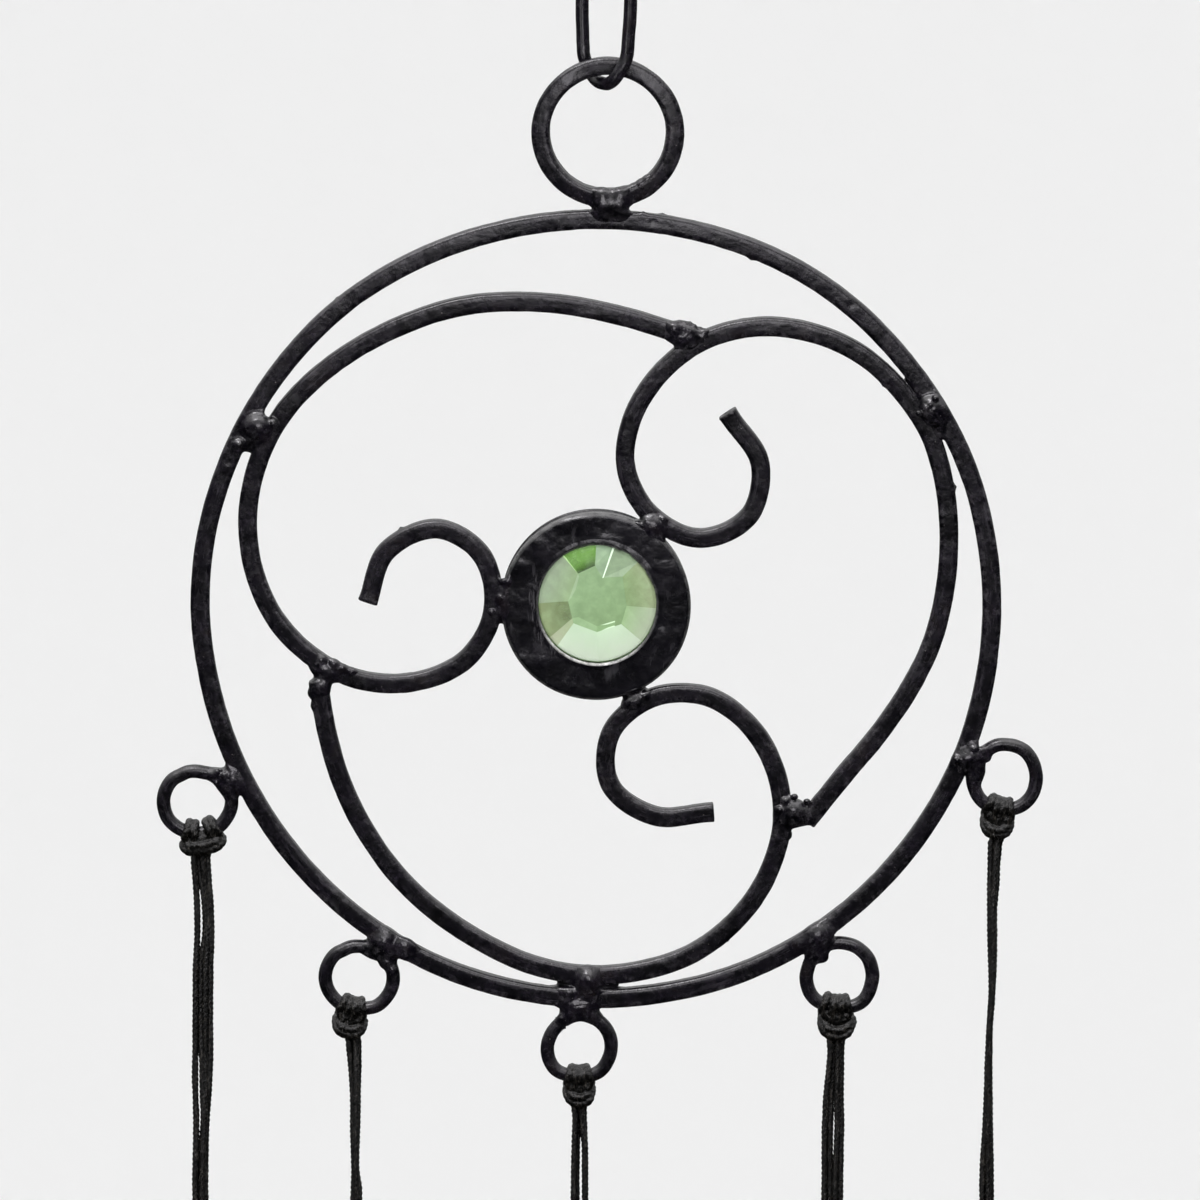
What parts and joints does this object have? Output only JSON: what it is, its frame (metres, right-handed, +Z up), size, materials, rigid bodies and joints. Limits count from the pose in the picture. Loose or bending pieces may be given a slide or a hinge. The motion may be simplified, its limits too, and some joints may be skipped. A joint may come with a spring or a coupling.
{
  "type": "bell wind chime",
  "caption": "Hanging wind chime: black forged hoop with scrolls round a faceted green glass stone, wire hanging link, and small brass bells on waxed cords below.",
  "frame": {"origin": "inner top of the hanging link's eye, where the chime hangs", "axes": "+Z up, the hoop lies in the XZ plane, -Y is the front with the stone's table, +X to the right seen from the front"},
  "size_m": [0.1537, 0.022, 0.3462],
  "materials": {
    "black_iron": "satin black paint on hand-worked square bar, scuffed, with dust specks and worn edges",
    "weld_iron": "lumpy weld metal under the same black paint, shinier, with spatter",
    "green_glass": "clear faceted pressed glass, pale green",
    "black_cord": "twisted waxed cotton cord, matt black with a faint sheen",
    "aged_brass": "turned brass, aged, darker in the grooves and rubbed bright at the lip"
  },
  "bodies": {
    "hanger": {"hanging_link": "black_iron"},
    "frame": {"top_ring": "black_iron", "outer_hoop": "black_iron", "scroll_left": "black_iron", "scroll_bottom": "black_iron", "scroll_right": "black_iron", "bezel_cup": "black_iron", "back_washer": "black_iron", "glass_stone": "green_glass", "cord_ring_1": "black_iron", "cord_ring_2": "black_iron", "cord_ring_3": "black_iron", "cord_ring_4": "black_iron", "cord_ring_5": "black_iron", "weld_top_ring": "weld_iron", "weld_hoop_left": "weld_iron", "weld_hoop_right": "weld_iron", "weld_hoop_bottom": "weld_iron", "weld_left_to_right": "weld_iron", "weld_bottom_to_left": "weld_iron", "weld_right_to_bottom": "weld_iron", "weld_bezel_left": "weld_iron", "weld_bezel_bottom": "weld_iron", "weld_bezel_right": "weld_iron", "weld_ring_1": "weld_iron", "weld_ring_2": "weld_iron", "weld_ring_3": "weld_iron", "weld_ring_4": "weld_iron", "weld_ring_5": "weld_iron"},
    "hitch_1": {"cord_hitch_1": "black_cord"},
    "drop_1": {"cord_1": "black_cord", "bell_knot_1": "black_cord", "bell_loop_1": "aged_brass", "bell_1": "aged_brass"},
    "clapper_1": {"bell_clapper_1": "aged_brass"},
    "hitch_2": {"cord_hitch_2": "black_cord"},
    "drop_2": {"cord_2": "black_cord", "bell_knot_2": "black_cord", "bell_loop_2": "aged_brass", "bell_2": "aged_brass"},
    "clapper_2": {"bell_clapper_2": "aged_brass"},
    "hitch_3": {"cord_hitch_3": "black_cord"},
    "drop_3": {"cord_3": "black_cord", "bell_knot_3": "black_cord", "bell_loop_3": "aged_brass", "bell_3": "aged_brass"},
    "clapper_3": {"bell_clapper_3": "aged_brass"},
    "hitch_4": {"cord_hitch_4": "black_cord"},
    "drop_4": {"cord_4": "black_cord", "bell_knot_4": "black_cord", "bell_loop_4": "aged_brass", "bell_4": "aged_brass"},
    "clapper_4": {"bell_clapper_4": "aged_brass"},
    "hitch_5": {"cord_hitch_5": "black_cord"},
    "drop_5": {"cord_5": "black_cord", "bell_knot_5": "black_cord", "bell_loop_5": "aged_brass", "bell_5": "aged_brass"},
    "clapper_5": {"bell_clapper_5": "aged_brass"}
  },
  "joints": [
    {"name": "frame_swing", "type": "hinge", "parent": "hanger", "child": "frame", "pos_m": [0, 0, -0.0337], "axis": [0.7071, -0.7071, 0], "range_deg": [-20, 20]},
    {"name": "bell_1_fore_aft", "type": "hinge", "parent": "frame", "child": "hitch_1", "pos_m": [-0.067, 0, -0.15969], "axis": [0.9796, 0, 0.2011], "range_deg": [-35, 35]},
    {"name": "bell_1_sideways", "type": "hinge", "parent": "hitch_1", "child": "drop_1", "pos_m": [-0.067, 0, -0.16469], "axis": [0, 1, 0], "range_deg": [-4, 25]},
    {"name": "clapper_1_swing", "type": "hinge", "parent": "drop_1", "child": "clapper_1", "pos_m": [-0.067, 0, -0.28369], "axis": [0, 1, 0], "range_deg": [-20, 20]},
    {"name": "bell_2_fore_aft", "type": "hinge", "parent": "frame", "child": "hitch_2", "pos_m": [-0.04223, 0, -0.18944], "axis": [0.9736, 0, -0.2284], "range_deg": [-35, 35]},
    {"name": "bell_2_sideways", "type": "hinge", "parent": "hitch_2", "child": "drop_2", "pos_m": [-0.04223, 0, -0.19444], "axis": [0, 1, 0], "range_deg": [-7, 4.5]},
    {"name": "clapper_2_swing", "type": "hinge", "parent": "drop_2", "child": "clapper_2", "pos_m": [-0.04223, 0, -0.31344], "axis": [0, 1, 0], "range_deg": [-20, 20]},
    {"name": "bell_3_fore_aft", "type": "hinge", "parent": "frame", "child": "hitch_3", "pos_m": [-0.00425, 0, -0.2011], "axis": [1, 0, 0], "range_deg": [-35, 35]},
    {"name": "bell_3_sideways", "type": "hinge", "parent": "hitch_3", "child": "drop_3", "pos_m": [-0.00425, 0, -0.2061], "axis": [0, 1, 0], "range_deg": [-9, 7]},
    {"name": "clapper_3_swing", "type": "hinge", "parent": "drop_3", "child": "clapper_3", "pos_m": [-0.00425, 0, -0.3251], "axis": [0, 1, 0], "range_deg": [-20, 20]},
    {"name": "bell_4_fore_aft", "type": "hinge", "parent": "frame", "child": "hitch_4", "pos_m": [0.03889, 0, -0.18917], "axis": [0.999, 0, -0.0454], "range_deg": [-35, 35]},
    {"name": "bell_4_sideways", "type": "hinge", "parent": "hitch_4", "child": "drop_4", "pos_m": [0.03889, 0, -0.19417], "axis": [0, 1, 0], "range_deg": [-5.5, 9]},
    {"name": "clapper_4_swing", "type": "hinge", "parent": "drop_4", "child": "clapper_4", "pos_m": [0.03889, 0, -0.31317], "axis": [0, 1, 0], "range_deg": [-20, 20]},
    {"name": "bell_5_fore_aft", "type": "hinge", "parent": "frame", "child": "hitch_5", "pos_m": [0.06585, 0, -0.15562], "axis": [0.9707, 0, -0.2402], "range_deg": [-35, 35]},
    {"name": "bell_5_sideways", "type": "hinge", "parent": "hitch_5", "child": "drop_5", "pos_m": [0.06585, 0, -0.16062], "axis": [0, 1, 0], "range_deg": [-25, 4.5]},
    {"name": "clapper_5_swing", "type": "hinge", "parent": "drop_5", "child": "clapper_5", "pos_m": [0.06524, 0, -0.27962], "axis": [0, 1, 0], "range_deg": [-20, 20]}
  ]
}
